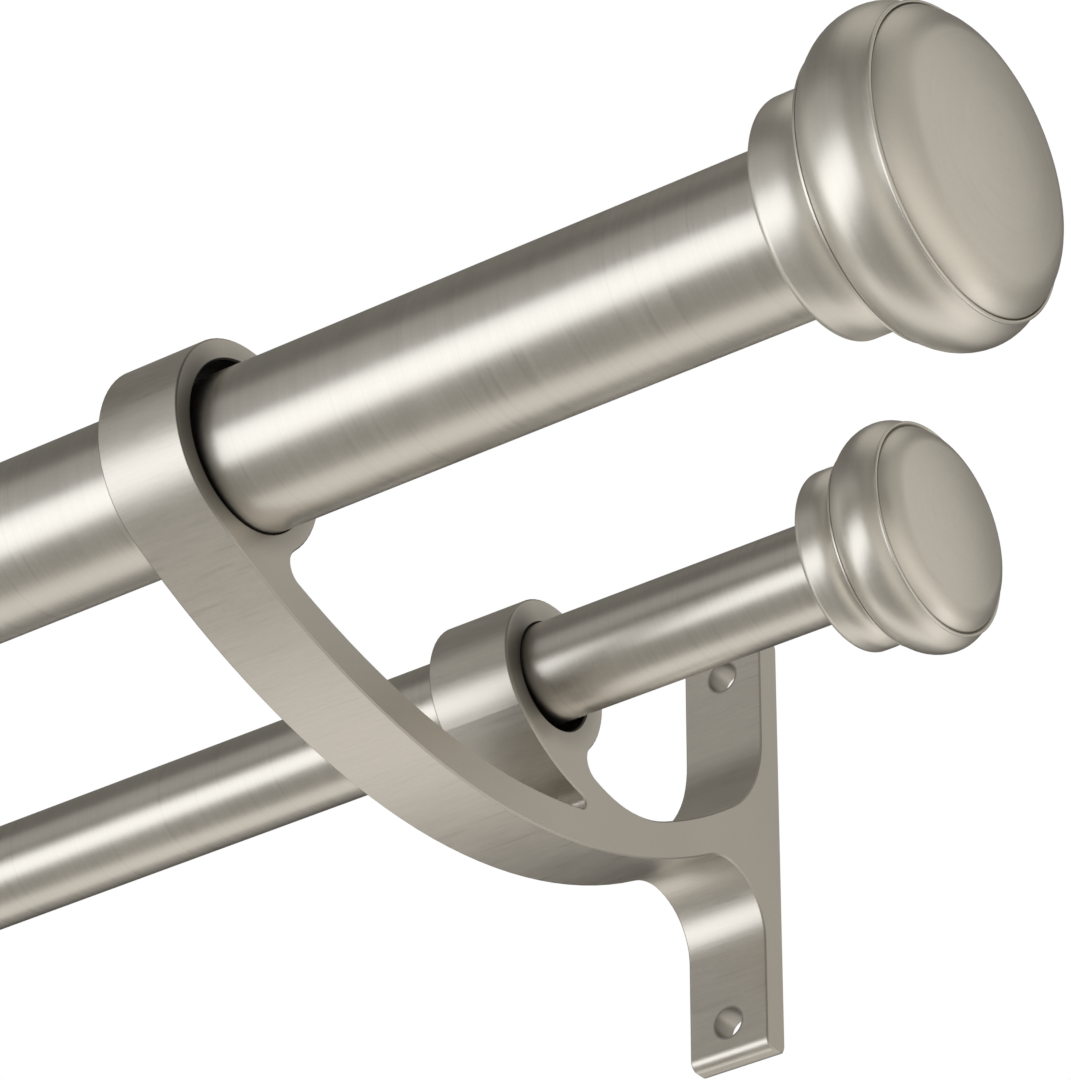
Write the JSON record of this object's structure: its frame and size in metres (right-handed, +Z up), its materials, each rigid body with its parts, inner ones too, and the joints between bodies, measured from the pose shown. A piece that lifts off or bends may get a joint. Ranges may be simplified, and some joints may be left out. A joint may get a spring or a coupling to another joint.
{
  "type": "double curtain pole",
  "caption": "Telescopic double curtain pole: a large front pole and a slim rear pole with turned finials, carried by one-piece curved wall brackets with ring holders.",
  "frame": {"origin": "middle of the rectangle of four wall-screw holes, on the wall plane", "axes": "+X along the poles towards the fixed right-hand finials, +Y into the wall, +Z up; the room is on the -Y side"},
  "size_m": [0.7722, 0.1622, 0.0762],
  "materials": {
    "bracket_satin_nickel": "satin nickel plate with fine brushing, duller on the tumbled side faces",
    "finial_satin_nickel": "satin nickel plate on a turned shape, brushed round its axis",
    "tube_satin_nickel": "satin nickel plate, fine brushing round the tube",
    "moulded_nylon": "natural moulded nylon, matt",
    "zinc_steel": "zinc plated steel, satin"
  },
  "bodies": {
    "wall_set": {"right_bracket": "bracket_satin_nickel", "left_bracket": "bracket_satin_nickel", "grub_screws": "zinc_steel", "front_outer_tube": "tube_satin_nickel", "front_right_end_plug": "moulded_nylon", "front_right_finial": "finial_satin_nickel", "front_right_finial_stud": "zinc_steel", "rear_outer_tube": "tube_satin_nickel", "rear_right_end_plug": "moulded_nylon", "rear_right_finial": "finial_satin_nickel", "rear_right_finial_stud": "zinc_steel"},
    "front_extension": {"front_inner_tube": "tube_satin_nickel", "front_slide_bush": "moulded_nylon", "front_left_end_plug": "moulded_nylon", "front_left_finial": "finial_satin_nickel", "front_left_finial_stud": "zinc_steel"},
    "rear_extension": {"rear_inner_tube": "tube_satin_nickel", "rear_slide_bush": "moulded_nylon", "rear_left_end_plug": "moulded_nylon", "rear_left_finial": "finial_satin_nickel", "rear_left_finial_stud": "zinc_steel"}
  },
  "joints": [
    {"name": "front_pole_slide", "type": "slide", "parent": "wall_set", "child": "front_extension", "axis": [-1, 0, 0], "range_m": [0, 0.508]},
    {"name": "rear_pole_slide", "type": "slide", "parent": "wall_set", "child": "rear_extension", "axis": [-1, 0, 0], "range_m": [0, 0.508]}
  ]
}
